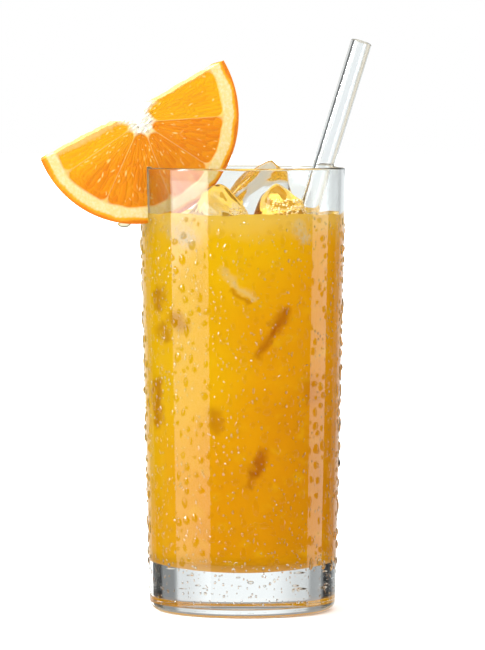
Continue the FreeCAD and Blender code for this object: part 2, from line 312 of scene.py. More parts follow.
@dataclass
class Patch:
    """Points, in millimetres, with faces and numbers stored on the points."""

    points: np.ndarray
    faces: list[tuple[int, ...]]
    numbers: dict[str, np.ndarray] = field(default_factory=dict)

    @staticmethod
    def joined(patches: Iterable["Patch"]) -> "Patch":
        """Several patches as one.

        Args:
            patches: what is joined; numbers on their points are dropped.

        Returns:
            One patch.
        """
        points, faces, start = [], [], 0
        for patch in patches:
            points.append(patch.points)
            faces += [tuple(index + start for index in face) for face in patch.faces]
            start += len(patch.points)
        return Patch(np.concatenate(points), faces)

    def piece(self, name: str, sharp: float = 180.0) -> bpy.types.Object:
        """Turn the patch into an object in the scene.

        Args:
            name: the object's name.
            sharp: edges that turn by more degrees than this stay crisp.

        Returns:
            The object, smooth shaded.
        """
        mesh = bpy.data.meshes.new(name)
        mesh.from_pydata((self.points * MM).tolist(), [], self.faces)
        for word, values in self.numbers.items():
            layer = mesh.attributes.new(word, "FLOAT", "POINT")
            layer.data.foreach_set("value", values.astype(np.float32))
        mesh.validate()
        self._face_outwards(mesh)
        mesh.shade_smooth()
        if sharp < 180.0:
            mesh.set_sharp_from_angle(angle=math.radians(sharp))
        thing = bpy.data.objects.new(name, mesh)
        bpy.context.scene.collection.objects.link(thing)
        return thing

    @staticmethod
    def _face_outwards(mesh: bpy.types.Mesh) -> None:
        """Turn every face to point out of the closed mesh."""
        work = bmesh.new()
        work.from_mesh(mesh)
        bmesh.ops.recalc_face_normals(work, faces=work.faces)
        work.to_mesh(mesh)
        work.free()


def ripple(points: np.ndarray, length: float, seed: int, count: int = 14) -> np.ndarray:
    """Smooth random waves over points.

    Args:
        points: an array of points, one a row.
        length: the typical wavelength, in the points' own unit.
        seed: picks the waves.
        count: how many waves are added.

    Returns:
        One value a point, about -1 to 1.
    """
    rng = np.random.default_rng(seed)
    total = np.zeros(len(points))
    for _ in range(count):
        heading = rng.normal(size=points.shape[1])
        heading *= 2 * math.pi / (length * rng.uniform(0.7, 1.5) * np.linalg.norm(heading))
        total += np.sin(points @ heading + rng.uniform(0, 2 * math.pi))
    return total / math.sqrt(count / 2) / 1.6


def cells(across: np.ndarray, along: np.ndarray, seed: int) -> tuple[np.ndarray, np.ndarray]:
    """Irregular cells, one to a unit square.

    Args:
        across, along: where each point lies.
        seed: picks the cells.

    Returns:
        How far each point is from its cell's edge, 0 at the edge, and its cell's own number.
    """
    rng = np.random.default_rng(seed)
    size = 256
    jitter = rng.random((size, size, 3))
    column, row = np.floor(across).astype(int), np.floor(along).astype(int)
    best = np.full(across.shape, 9.0)
    second = np.full(across.shape, 9.0)
    own = np.zeros(across.shape)
    for right in (-1, 0, 1):
        for up in (-1, 0, 1):
            place = jitter[(column + right) % size, (row + up) % size]
            gap = np.hypot(column + right + place[..., 0] - across,
                           row + up + place[..., 1] - along)
            nearer = gap < best
            second = np.where(nearer, best, np.minimum(second, gap))
            own = np.where(nearer, place[..., 2], own)
            best = np.minimum(best, gap)
    return second - best, own


def rounded_path(corners: Sequence[tuple[float, float, float]], turn: float = 9.0) -> np.ndarray:
    """A line through corners, each rounded.

    Args:
        corners: radius, height and rounding of each corner.
        turn: degrees between two points of a rounding.

    Returns:
        The points of the line, one a row.
    """
    spots = [np.array(corner[:2]) for corner in corners]
    path = [spots[0]]
    for index in range(1, len(corners) - 1):
        here, rounding = spots[index], corners[index][2]
        before, after = spots[index - 1] - here, spots[index + 1] - here
        before, after = before / np.linalg.norm(before), after / np.linalg.norm(after)
        half = math.acos(float(np.clip(before @ after, -1, 1))) / 2
        if rounding <= 0 or half > math.radians(89.5):
            path.append(here)
            continue
        centre = here + (before + after) / np.linalg.norm(before + after) * rounding / math.sin(half)
        start = here + before * rounding / math.tan(half) - centre
        end = here + after * rounding / math.tan(half) - centre
        sweep = math.atan2(start[0] * end[1] - start[1] * end[0], float(start @ end))
        steps = max(2, math.ceil(abs(math.degrees(sweep)) / turn))
        for step in range(steps + 1):
            angle = sweep * step / steps
            cos, sin = math.cos(angle), math.sin(angle)
            path.append(centre + np.array([start[0] * cos - start[1] * sin,
                                           start[0] * sin + start[1] * cos]))
    path.append(spots[-1])
    return np.array(path)


def spread(path: np.ndarray, longest: float) -> np.ndarray:
    """Divide a line's long stretches so that no two points are further apart than longest."""
    points = [path[0]]
    for start, end in zip(path[:-1], path[1:]):
        steps = max(1, math.ceil(np.linalg.norm(end - start) / longest))
        points += [start + (end - start) * step / steps for step in range(1, steps + 1)]
    return np.array(points)


def lathe(path: np.ndarray, turns: int, closed: bool = False) -> Patch:
    """Turn a line of radius and height about the vertical axis.

    Args:
        path: the line, from the axis back to the axis, or a ring if closed.
        turns: how many steps make one turn.
        closed: whether the line is a closed ring off the axis.

    Returns:
        A closed surface.
    """
    inner = path if closed else path[1:-1]
    angles = np.arange(turns) * 2 * math.pi / turns
    rings = np.array([[(r * math.cos(a), r * math.sin(a), z) for a in angles] for r, z in inner])
    points = rings.reshape(-1, 3)
    count = len(inner)
    faces = []
    for ring in range(count if closed else count - 1):
        near, far = ring * turns, (ring + 1) % count * turns
        faces += [(near + i, near + (i + 1) % turns, far + (i + 1) % turns, far + i)
                  for i in range(turns)]
    if not closed:
        tips = np.array([(0.0, 0.0, path[0][1]), (0.0, 0.0, path[-1][1])])
        points = np.concatenate([points, tips])
        low, high, last = len(points) - 2, len(points) - 1, (count - 1) * turns
        faces += [(low, (i + 1) % turns, i) for i in range(turns)]
        faces += [(high, last + i, last + (i + 1) % turns) for i in range(turns)]
    return Patch(points, faces)


def combine(piece: bpy.types.Object, tools: Sequence[bpy.types.Object], operation: str,
            solver: str) -> None:
    """Cut tools out of a piece or unite them with it, and remove the tools.

    Args:
        piece: what is changed; the result becomes its mesh.
        tools: closed objects.
        operation: "DIFFERENCE" or "UNION".
        solver: which of the boolean solvers works it out.
    """
    for tool in tools:
        step = piece.modifiers.new(f"with_{tool.name}", "BOOLEAN")
        step.operation = operation
        step.solver = solver
        step.object = tool
    bpy.context.view_layer.update()
    evaluated = piece.evaluated_get(bpy.context.evaluated_depsgraph_get())
    mesh = bpy.data.meshes.new_from_object(evaluated)
    piece.modifiers.clear()
    piece.data = mesh
    for tool in tools:
        bpy.data.objects.remove(tool)


def seat(piece: bpy.types.Object, finish: bpy.types.Material, material_slot: str,
         *nodes: str) -> bpy.types.Object:
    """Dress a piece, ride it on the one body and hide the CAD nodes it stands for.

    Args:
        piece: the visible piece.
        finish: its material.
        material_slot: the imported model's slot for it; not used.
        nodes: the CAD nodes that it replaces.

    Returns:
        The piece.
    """
    piece.data.materials.clear()
    piece.data.materials.append(finish)
    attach(piece, "root")
    if nodes:
        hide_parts(*nodes)
    LOG.info("%s: %d faces", piece.name, len(piece.data.polygons))
    return piece


# ----------------------------------------------------------------------------- finishes


class Clear(Enum):
    """The clear things in the glass, by what they are made of: index of refraction."""

    GLASS = 1.5
    WATER = 1.333
    ICE = 1.31


@dataclass(frozen=True)
class ClearFinish:
    """A clear, smooth, wet or polished material.

    Its surface waves by up to wave, smear is how rough its faint smears are, and
    glint is the strength of a second, sharp reflection on top, of a layer of glint_index.
    """

    name: str
    kind: Clear
    tint: Colour = (1.0, 1.0, 1.0)
    roughness: float = 0.0
    smear: float = 0.0
    wave: float = 0.0
    wave_scale: float = 0.1
    glint: float = 0.0
    glint_index: float = 1.33

    def material(self) -> bpy.types.Material:
        """Make the material, with faint waves in its surface."""
        return new_material(self.name, {
            "Base Color": self.tint, "IOR": self.kind.value, "Roughness": self.roughness,
            "Specular Tint": (1.0 - self.glint,) * 3, "Coat Weight": self.glint,
            "Coat IOR": self.glint_index, "Coat Roughness": 0.0,
            "Transmission Weight": 1.0}, self._dress)

    def _dress(self, graph: Graph) -> dict:
        """Nodes for the slight unevenness of the surface and its faint smears.

        Args:
            graph: the material's nodes.

        Returns:
            The wires for the shader's sockets.
        """
        wires = {"Normal": graph.bump(graph.noise(self.wave_scale, 1.0), self.wave)}
        if self.smear:
            wires["Roughness"] = graph.noise(0.025, 2.0).step(0.55, 0.8) * self.smear
        return wires


# Painted shade and painted sheen of sunken ice, laid into the juice's colour behind the front wall.
BROWN_SHADOW = srgb(186, 104, 6)
ICE_GREY_PAINTED_SHEEN = srgb(206, 196, 176)
ICE_PALE_PAINTED_SHEEN = srgb(240, 214, 150)


@dataclass(frozen=True)
class Streak:
    """A mark in the juice where sunken ice lies close behind the wall: painted shade, or painted
    sheen of the ice where tinted pale or grey.

    It runs from start to end, each right and up, and fades out over its width.
    """

    start: tuple[float, float]
    end: tuple[float, float]
    width: float
    depth: float
    tint: Colour = BROWN_SHADOW
    speckle: float = 0.0


@dataclass(frozen=True)
class JuiceFinish:
    """Cloudy orange juice, with painted light: painted lighter above and on the left, painted shade
    below and on the right.
    """

    low: float
    high: float
    reach: float
    streaks: tuple[Streak, ...]
    # The ramp runs from painted shade (deep orange) to painted light (yellow).
    painted_shade_ramp: tuple[tuple[float, Colour], ...] = (
        (0.0, behind_glass(204, 128, 2)), (0.35, behind_glass(219, 141, 2)),
        (0.6, behind_glass(230, 155, 2)), (1.0, behind_glass(238, 182, 4)))
    wisps: Colour = behind_glass(240, 190, 20)
    cream: Colour = behind_glass(236, 193, 92)
    painted_top_light: float = 0.66
    painted_side_shade: float = 0.42
    cloud_share: float = 0.6
    cream_depth: float = 8.0

    def material(self) -> bpy.types.Material:
        """Make the juice's material."""
        return new_material("orange_juice", {
            "Roughness": 0.4, "IOR": 1.33, "Specular IOR Level": 0.06,
            "Coat Roughness": 0.04, "Coat IOR": 1.33}, self._dress)

    def _dress(self, graph: Graph) -> dict:
        """Nodes for the juice's colour and its pulpy surface.

        Args:
            graph: the material's nodes.

        Returns:
            The wires for the shader's sockets.
        """
        right, back, up = graph.place().parts()
        height = (up / MM - self.low) / (self.high - self.low)
        cloud = graph.noise(0.04, 3.0, stretch=(1.0, 1.0, 0.7))
        # Painted light: the tone rises towards the top and falls towards the right, as the light
        # falls; random cloud is added next.
        tone = height * self.painted_top_light - right / MM / self.reach * self.painted_side_shade + 0.3
        tone = tone + (cloud - 0.5) * self.cloud_share
        colour = graph.node("ShaderNodeValToRGB", {"stops": self.painted_shade_ramp}, [tone])
        wisp = graph.noise(0.15, 4.0, stretch=(1.0, 1.0, 1.5)).step(0.52, 0.78)
        colour = graph.mix(wisp * 0.35, colour, self.wisps)
        front = (-(back / MM)).step(2.0, 9.0)
        wobble = graph.noise(0.25, 3.0, out="Color").vector("SUBTRACT", (0.5, 0.5, 0.5))
        point = graph.place().vector("MULTIPLY", (1 / MM, 0.0, 1 / MM))
        point = point.vector("ADD", wobble.vector("MULTIPLY", (5.0, 0.0, 5.0)))
        grain = graph.noise(1.3, 2.0).step(0.42, 0.6)
        # Painted shade and painted ice sheen where sunken ice lies behind the front wall.
        for streak in self.streaks:
            share = self._mask(point, streak) * front * streak.depth
            share = share * (1.0 - grain * streak.speckle) if streak.speckle else share
            colour = graph.mix(share, colour, streak.tint)
        froth = (up / MM + (graph.noise(0.12, 3.0) - 0.5) * 9.0).step(
            self.high - self.cream_depth, self.high - 0.5)
        colour = graph.mix(froth * 0.55, colour, self.cream)
        pulp = graph.noise(0.9, 3.0)
        surface = up.step((self.high - 0.6) * MM, (self.high - 0.2) * MM)
        return {"Base Color": colour, "Coat Weight": surface * 0.8,
                "Normal": graph.bump(pulp, 0.1, 0.3)}

    @staticmethod
    def _mask(point: Wire, streak: Streak) -> Wire:
        """Where one streak lies: a ragged capsule from its start to its end.

        Args:
            point: the place in the juice, in millimetres.
            streak: the mark.

        Returns:
            1 on its middle line, 0 outside.
        """
        start = (streak.start[0], 0.0, streak.start[1])
        along = (streak.end[0] - start[0], 0.0, streak.end[1] - start[2])
        length = along[0] ** 2 + along[2] ** 2
        away = point.vector("SUBTRACT", start)
        share = away.vector("DOT_PRODUCT", along, out="Value") / length
        share = share.apply("MAXIMUM", 0.0).apply("MINIMUM", 1.0)
        x, _, z = away.parts()
        gap = ((x - share * along[0]) ** 2.0 + (z - share * along[2]) ** 2.0).apply("SQRT")
        return gap.step(streak.width * 1.25, 0.0)


@dataclass(frozen=True)
class FrothFinish:
    """Pale golden foam, between two colours."""

    gold: Colour = srgb(236, 190, 74)
    pale: Colour = srgb(250, 232, 184)

    def material(self) -> bpy.types.Material:
        """Make the foam's material."""
        return new_material("juice_froth", {"Roughness": 0.2, "Coat Weight": 0.6,
                                            "Coat Roughness": 0.03}, self._dress)

    def _dress(self, graph: Graph) -> dict:
        """Nodes for beads that differ a little in colour."""
        return {"Base Color": graph.mix(graph.noise(0.8, 1.0).step(0.35, 0.65), self.gold, self.pale)}


@dataclass(frozen=True)
class FruitFinish:
    """The orange slice: dimpled zest, cream pith, thin skins and juicy pulp with painted glints."""

    light: float = 1.42
    palest: float = 0.95
    flesh: tuple[Point, Point] = ((228, 124, 0), (242, 152, 2))
    sac_wall: Point = (250, 172, 30)
    thin_flesh: Point = (243, 176, 4)
    painted_glint: Point = (255, 226, 140)
    skins: tuple[Point, Point] = ((248, 178, 70), (244, 206, 130))
    pith: tuple[Point, Point] = ((240, 214, 136), (246, 226, 172))
    peel: tuple[Point, Point] = ((248, 180, 16), (236, 132, 0))
    pore: Point = (212, 104, 0)
    core: Point = (250, 244, 224)

    def _lit(self, display: Point) -> Colour:
        """The colour that looks like a display colour in the open light of the studio."""
        return tuple(min(self.palest, value / self.light) for value in srgb(*display))

    def material(self) -> bpy.types.Material:
        """Make the fruit's material."""
        return new_material("orange_fruit", {
            "IOR": 1.4, "Specular IOR Level": 0.35, "Subsurface Weight": 0.2,
            "Subsurface Radius": (1.0, 0.45, 0.12), "Subsurface Scale": 1.6 * MM,
            "Coat Roughness": 0.08}, self._dress)

    def _dress(self, graph: Graph) -> dict:
        """Nodes that colour the fruit by the numbers stored on its points.

        Args:
            graph: the material's nodes.

        Returns:
            The wires for the shader's sockets.
        """
        pulp, zest, tone, sac, edge, core, inside, glint = (graph.attribute(name) for name in (
            "pulp", "zest", "tone", "sac", "edge", "core", "skin", "glint"))
        cloud = graph.noise(0.2, 3.0)
        flesh = graph.mix(tone * 0.6 + cloud * 0.8 - 0.2, *map(self._lit, self.flesh))
        flesh = graph.mix(sac.step(0.16, 0.0) * 0.28, flesh, self._lit(self.sac_wall))
        flesh = graph.mix(edge * 0.9, flesh, self._lit(self.thin_flesh))
        # Painted highlights: pale glints laid into the pulp's colour.
        flesh = graph.mix(glint, flesh, self._lit(self.painted_glint))
        skin = graph.mix(graph.noise(0.5, 2.0), *map(self._lit, self.skins))
        fibre = graph.noise(1.1, 3.0)
        pith = graph.mix(fibre.step(0.35, 0.7), *map(self._lit, self.pith))
        pores = graph.node("ShaderNodeTexVoronoi", {}, {"Scale": 0.85 / MM}, "Distance")
        peel = graph.mix(zest.step(0.25, 0.9), *map(self._lit, self.peel))
        peel = graph.mix(pores.step(0.25, 0.05) * zest * 0.6, peel, self._lit(self.pore))
        rind = graph.mix(zest.step(0.02, 0.35), pith, peel)
        rind = graph.mix(inside * (1.0 - zest), rind, skin)
        rind = graph.mix(core * (1.0 - zest), rind, self._lit(self.core))
        relief = graph.noise(1.6, 2.0) * (1.0 - pulp * 0.5) + pores.step(0.3, 0.0) * zest * -1.4
        return {"Base Color": graph.mix(pulp, rind, flesh),
                "Roughness": pulp * -0.25 + 0.5 - zest * 0.12, "Coat Weight": pulp * 0.35,
                "Normal": graph.bump(relief, 0.1, 0.5)}


# ----------------------------------------------------------------------------- the pieces


@dataclass
class Tumbler:
    """The tall glass: a thick dished base, a tapered wall and a fire-polished rim."""

    height: float
    rim: float
    foot: float = 29.35
    wall: float = 1.6
    floor: float = 12.8
    bowl: float = 92.0
    floor_corner: float = 4.0
    heel: float = 3.1
    lip: float = 0.75
    hollow: float = 23.5
    hollow_rise: float = 0.7
    hollow_round: float = 1.2
    foot_ring: float = 1.8
    foot_round: float = 1.0
    crisp: float = 24.0
    near: float = 0.01
    turns: int = 160

    def outer(self, height: float) -> float:
        """Radius of the outside at a height."""
        return self.foot + (self.rim - self.foot) * height / self.height

    def inner(self, height: float) -> float:
        """Radius of the inside at a height."""
        return self.outer(height) - self.wall

    def dish(self, radius: float) -> float:
        """Height of the dished floor at a radius."""
        return self.floor + self.bowl - math.sqrt(self.bowl ** 2 - radius ** 2)

    def inner_path(self, inset: float, top: float) -> list[tuple[float, float, float]]:
        """Corners of the inside from the axis up to a height, moved inwards by inset."""
        edge = self.inner(self.floor + 3.0) - inset
        level = self.dish(edge) + inset
        dish = [(edge * step / 10, self.dish(edge * step / 10) + inset, 0.0) for step in range(10)]
        return dish + [(edge, level, self.floor_corner - inset),
                       (self.inner(top) - inset, top, 0.0)]

    def build(self, drops: bpy.types.Object) -> bpy.types.Object:
        """Make the glass as one closed surface, with the large drops of dew grown on to it.

        Args:
            drops: closed lenses that reach a little into the wall.

        Returns:
            The tumbler.
        """
        inside = self.inner_path(0.0, self.height)[::-1]
        corners = [(0.0, self.hollow_rise, 0.0),
                   (self.hollow, self.hollow_rise, self.hollow_round),
                   (self.hollow + self.foot_ring, 0.0, self.foot_round),
                   (self.foot, 0.0, self.heel), (self.rim, self.height, self.lip),
                   (self.rim - self.wall, self.height, self.lip), *inside[1:]]
        path = spread(rounded_path(corners, 7.5), 4.0)
        piece = lathe(path, self.turns).piece("tumbler")
        combine(piece, [drops], "UNION", "MANIFOLD")
        self._smooth_wall(piece.data)
        finish = ClearFinish("clear_glass", Clear.GLASS, (0.985, 0.995, 0.99), smear=0.02, wave=0.02,
                             wave_scale=0.05)
        seat(piece, finish.material(), "clear_glass", "glass")
        # The drops' gold-grey tint is painted shade that darkens them against the wall's reflection.
        dew = ClearFinish("dew_on_glass", Clear.GLASS, (0.86, 0.82, 0.7), roughness=0.25, wave=0.01,
                          wave_scale=0.5, glint=1.0)
        piece.data.materials.append(dew.material())
        for face in piece.data.polygons:
            x, y, z = face.center / MM
            face.material_index = int(math.hypot(x, y) > self.outer(z) + 0.4 * self.near)
        return piece

    def _smooth_wall(self, mesh: bpy.types.Mesh) -> None:
        """Keep the wall's shading round between the drops, whose edges stay crisp.

        Args:
            mesh: the tumbler with its drops.
        """
        mesh.shade_smooth()
        mesh.set_sharp_from_angle(angle=math.radians(self.crisp))
        loops, faces = len(mesh.loops), len(mesh.polygons)
        normals = np.empty(loops * 3, np.float32)
        mesh.corner_normals.foreach_get("vector", normals)
        spots = np.empty(len(mesh.vertices) * 3, np.float32)
        mesh.vertices.foreach_get("co", spots)
        corner = np.empty(loops, np.int32)
        mesh.loops.foreach_get("vertex_index", corner)
        facing = np.empty(faces * 3, np.float32)
        mesh.polygons.foreach_get("normal", facing)
        sizes = np.empty(faces, np.int32)
        mesh.polygons.foreach_get("loop_total", sizes)
        normals, spots = normals.reshape(-1, 3), spots.reshape(-1, 3)[corner] / MM
        facing = np.repeat(facing.reshape(-1, 3), sizes, axis=0)
        slope = (self.rim - self.foot) / self.height
        reach = np.hypot(spots[:, 0], spots[:, 1])
        ideal = np.stack([spots[:, 0] / reach, spots[:, 1] / reach, np.full(loops, -slope)], 1)
        ideal /= np.linalg.norm(ideal, axis=1, keepdims=True)
        on_wall = (np.abs(reach - self.foot - slope * spots[:, 2]) < self.near) & (
            (facing * ideal).sum(axis=1) > math.cos(math.radians(2.0)))
        normals[on_wall] = ideal[on_wall]
        mesh.normals_split_custom_set(normals.tolist())


@dataclass
class IceBlock:
    """A block of clear ice with a melted, uneven surface, over the block of the CAD model."""

    node: str
    size: Point
    centre: Point
    turn: float
    lean: float
    seed: int
    taper: float = 0.4
    peak: float = 0.0
    round_power: float = 2.9
    steps: int = 30
    melt: float = 1.0
    pits: float = 0.1
    crease: float = 1.6
    depth_taper: float = 0.6

    def surface(self, shrink: float = 0.0) -> Patch:
        """The block's surface as a softened cube.

        Args:
            shrink: how far it is moved inwards.

        Returns:
            Six sheets that meet at their edges.
        """
        grid = np.linspace(-1, 1, self.steps + 1)
        side = np.tan(grid * math.pi / 4)
        patches = []
        for axis in range(3):
            for sign in (-1, 1):
                first, second = np.meshgrid(side, side, indexing="ij")
                face = np.full((*first.shape, 3), float(sign))
                face[..., (axis + 1) % 3], face[..., (axis + 2) % 3] = first, second
                count = self.steps + 1
                quads = [(i * count + j, i * count + j + 1, (i + 1) * count + j + 1,
                          (i + 1) * count + j)
                         for i in range(self.steps) for j in range(self.steps)]
                patches.append(Patch(face.reshape(-1, 3), quads))
        cube = Patch.joined(patches)
        heading = cube.points / np.linalg.norm(cube.points, axis=1, keepdims=True)
        power = (np.abs(heading) ** self.round_power).sum(axis=1) ** (-1 / self.round_power)
        half = np.array(self.size) / 2
        points = heading * power[:, None] * half
        climb = np.clip(points[:, 2] / half[2] * 0.8 + 0.2, 0, 1)
        points[:, 0] = points[:, 0] * (1 - self.taper * climb) + self.peak * climb
        points[:, 1] *= 1 - self.depth_taper * self.taper * climb
        dents = sum(depth * (1 - self.crease * np.abs(ripple(points, length, seed)))
                    for depth, length, seed in ((self.melt, 17.0, self.seed),
                                                (self.pits, 7.0, self.seed + 1)))
        points += heading * (dents - self.melt - shrink)[:, None]
        cube.points = self._put(points)
        return cube

    def spots(self, low: float, high: float, left: float, right: float) -> np.ndarray:
        """Points of the block's front between two heights and two sides."""
        points = self.surface().points
        return points[(points[:, 2] > low) & (points[:, 2] < high) & (points[:, 0] > left)
                      & (points[:, 0] < right) & (points[:, 1] < self.centre[1])]

    def _put(self, points: np.ndarray) -> np.ndarray:
        """Lean and turn points about the block's middle and move them to its place.

        Args:
            points: one a row, about the middle.

        Returns:
            The points where the block lies.
        """
        lean, turn = math.radians(self.lean), math.radians(self.turn)
        tip = np.array([[math.cos(lean), 0, math.sin(lean)], [0, 1, 0],
                        [-math.sin(lean), 0, math.cos(lean)]])
        yaw = np.array([[math.cos(turn), -math.sin(turn), 0],
                        [math.sin(turn), math.cos(turn), 0], [0, 0, 1]])
        return points @ (yaw @ tip).T + np.array(self.centre)

    def solid(self, name: str, shrink: float = 0.0) -> bpy.types.Object:
        """The block as an object whose cube faces are sewn together.

        Args:
            name: the object's name.
            shrink: how far its surface is moved inwards.

        Returns:
            The object, closed and smooth shaded.
        """
        piece = self.surface(shrink).piece(name)
        work = bmesh.new()
        work.from_mesh(piece.data)
        bmesh.ops.remove_doubles(work, verts=work.verts, dist=0.02 * MM)
        bmesh.ops.recalc_face_normals(work, faces=work.faces)
        work.to_mesh(piece.data)
        work.free()
        piece.data.shade_smooth()
        return piece

    def build(self) -> bpy.types.Object:
        """Make the visible block of ice."""
        finish = ClearFinish(f"clear_{self.node}", Clear.ICE, (0.985, 0.995, 1.0), smear=0.05,
                             wave=0.05, wave_scale=0.4)
        return seat(self.solid(f"{self.node}_melted"), finish.material(), "clear_ice", self.node)


@dataclass
class Drink:
    """The juice, up to its level, with a raised edge at the wall and room for the ice."""

    tumbler: Tumbler
    level: float
    ice: Sequence[IceBlock]
    bite: float = 0.12
    climb: float = 1.1
    curl: float = 0.9
    rings: int = 60
    turns: int = 256
    # Marks of painted shade, and of painted sheen where tinted pale or grey, from sunken ice.
    streaks: tuple[Streak, ...] = (
        Streak((13.6, 95.5), (10.0, 90.5), 2.6, 0.8),
        Streak((10.0, 90.0), (5.2, 82.5), 2.0, 0.7),
        Streak((6.4, 51.0), (3.8, 45.5), 2.6, 0.85),
        Streak((3.8, 45.5), (2.2, 41.5), 1.6, 0.5),
        Streak((-25.7, 73.0), (-25.9, 60.0), 2.0, 0.65),
        Streak((-8.6, 64.0), (-8.2, 60.0), 3.0, 0.5),
        Streak((-25.4, 101.0), (-25.2, 97.0), 2.4, 0.6),
        Streak((-20.5, 94.0), (-18.8, 91.0), 3.0, 0.55),
        Streak((-24.0, 91.0), (-23.6, 87.0), 2.4, 0.5),
        Streak((20.3, 74.0), (20.8, 68.0), 3.0, 0.3),
        Streak((-6.0, 108.2), (-2.0, 104.5), 1.9, 0.45, ICE_PALE_PAINTED_SHEEN),
        Streak((-2.6, 103.6), (3.2, 100.6), 1.6, 0.55, ICE_PALE_PAINTED_SHEEN),
        Streak((-3.4, 101.8), (2.0, 98.6), 1.0, 0.5),
        Streak((-19.5, 121.2), (-16.8, 118.4), 4.2, 0.85, ICE_GREY_PAINTED_SHEEN, 0.6),
        Streak((17.2, 122.0), (18.8, 118.6), 2.6, 0.85, ICE_GREY_PAINTED_SHEEN, 0.6),
    )

    def build(self) -> bpy.types.Object:
        """Make the juice and cut the ice out of it.

        Returns:
            The juice.
        """
        brim = self.level + self.climb
        corners = self.tumbler.inner_path(-self.bite, brim)
        side = spread(rounded_path(corners, 9.0), 3.0)
        reach = side[-1][0]
        top = []
        for step in range(1, self.rings):
            radius = reach * (1 - step / self.rings)
            rise = self.climb * math.exp(-(reach - radius) / self.curl)
            top.append((radius, self.level + rise))
        path = np.array([*side, *top, (0.0, self.level)])
        patch = lathe(path, self.turns)
        self._stir(patch)
        piece = patch.piece("juice_body", 50.0)
        rooms = [block.solid(f"{block.node}_room", self.bite) for block in self.ice]
        combine(piece, rooms, "DIFFERENCE", "EXACT")
        piece.data.set_sharp_from_angle(angle=math.radians(50.0))
        finish = JuiceFinish(self.tumbler.floor, self.level, reach, self.streaks)
        return seat(piece, finish.material(), "orange_juice", "juice")

    def _stir(self, patch: Patch) -> None:
        """Make the free surface slightly uneven."""
        points = patch.points
        surface = points[:, 2] > self.level - 0.5
        flat = points[:, :2]
        swell = ripple(flat, 16.0, 5) * 0.35 + ripple(flat, 5.0, 6) * 0.12
        points[:, 2] += np.where(surface, swell, 0.0)


@dataclass
class Straw:
    """A clear straight glass tube with fire-polished ends."""

    foot: Point
    aim: Point
    length: float = 173.0
    radius: float = 3.35
    bore: float = 2.4
    lip: float = 0.42
    turns: int = 72

    def build(self) -> bpy.types.Object:
        """Make the tube and stand it along its line.

        Returns:
            The straw.
        """
        middle = (self.radius, self.length / 2, 0.0)
        ends = [(self.radius, self.length, self.lip), (self.bore, self.length, self.lip),
                (self.bore, 0.0, self.lip), (self.radius, 0.0, self.lip)]
        ring = rounded_path([middle, *ends, middle], 18.0)
        tube = lathe(ring[:-1], self.turns, closed=True)
        axis = Vector(self.aim) - Vector(self.foot)
        spin = np.array(axis.to_track_quat("Z", "Y").to_matrix())
        tube.points = tube.points @ spin.T + np.array(self.foot)
        finish = ClearFinish("straw_glass", Clear.GLASS, (0.98, 0.985, 0.985), smear=0.01, wave=0.01,
                             wave_scale=0.05)
        return seat(tube.piece("straw_tube"), finish.material(), "straw_glass", "straw")


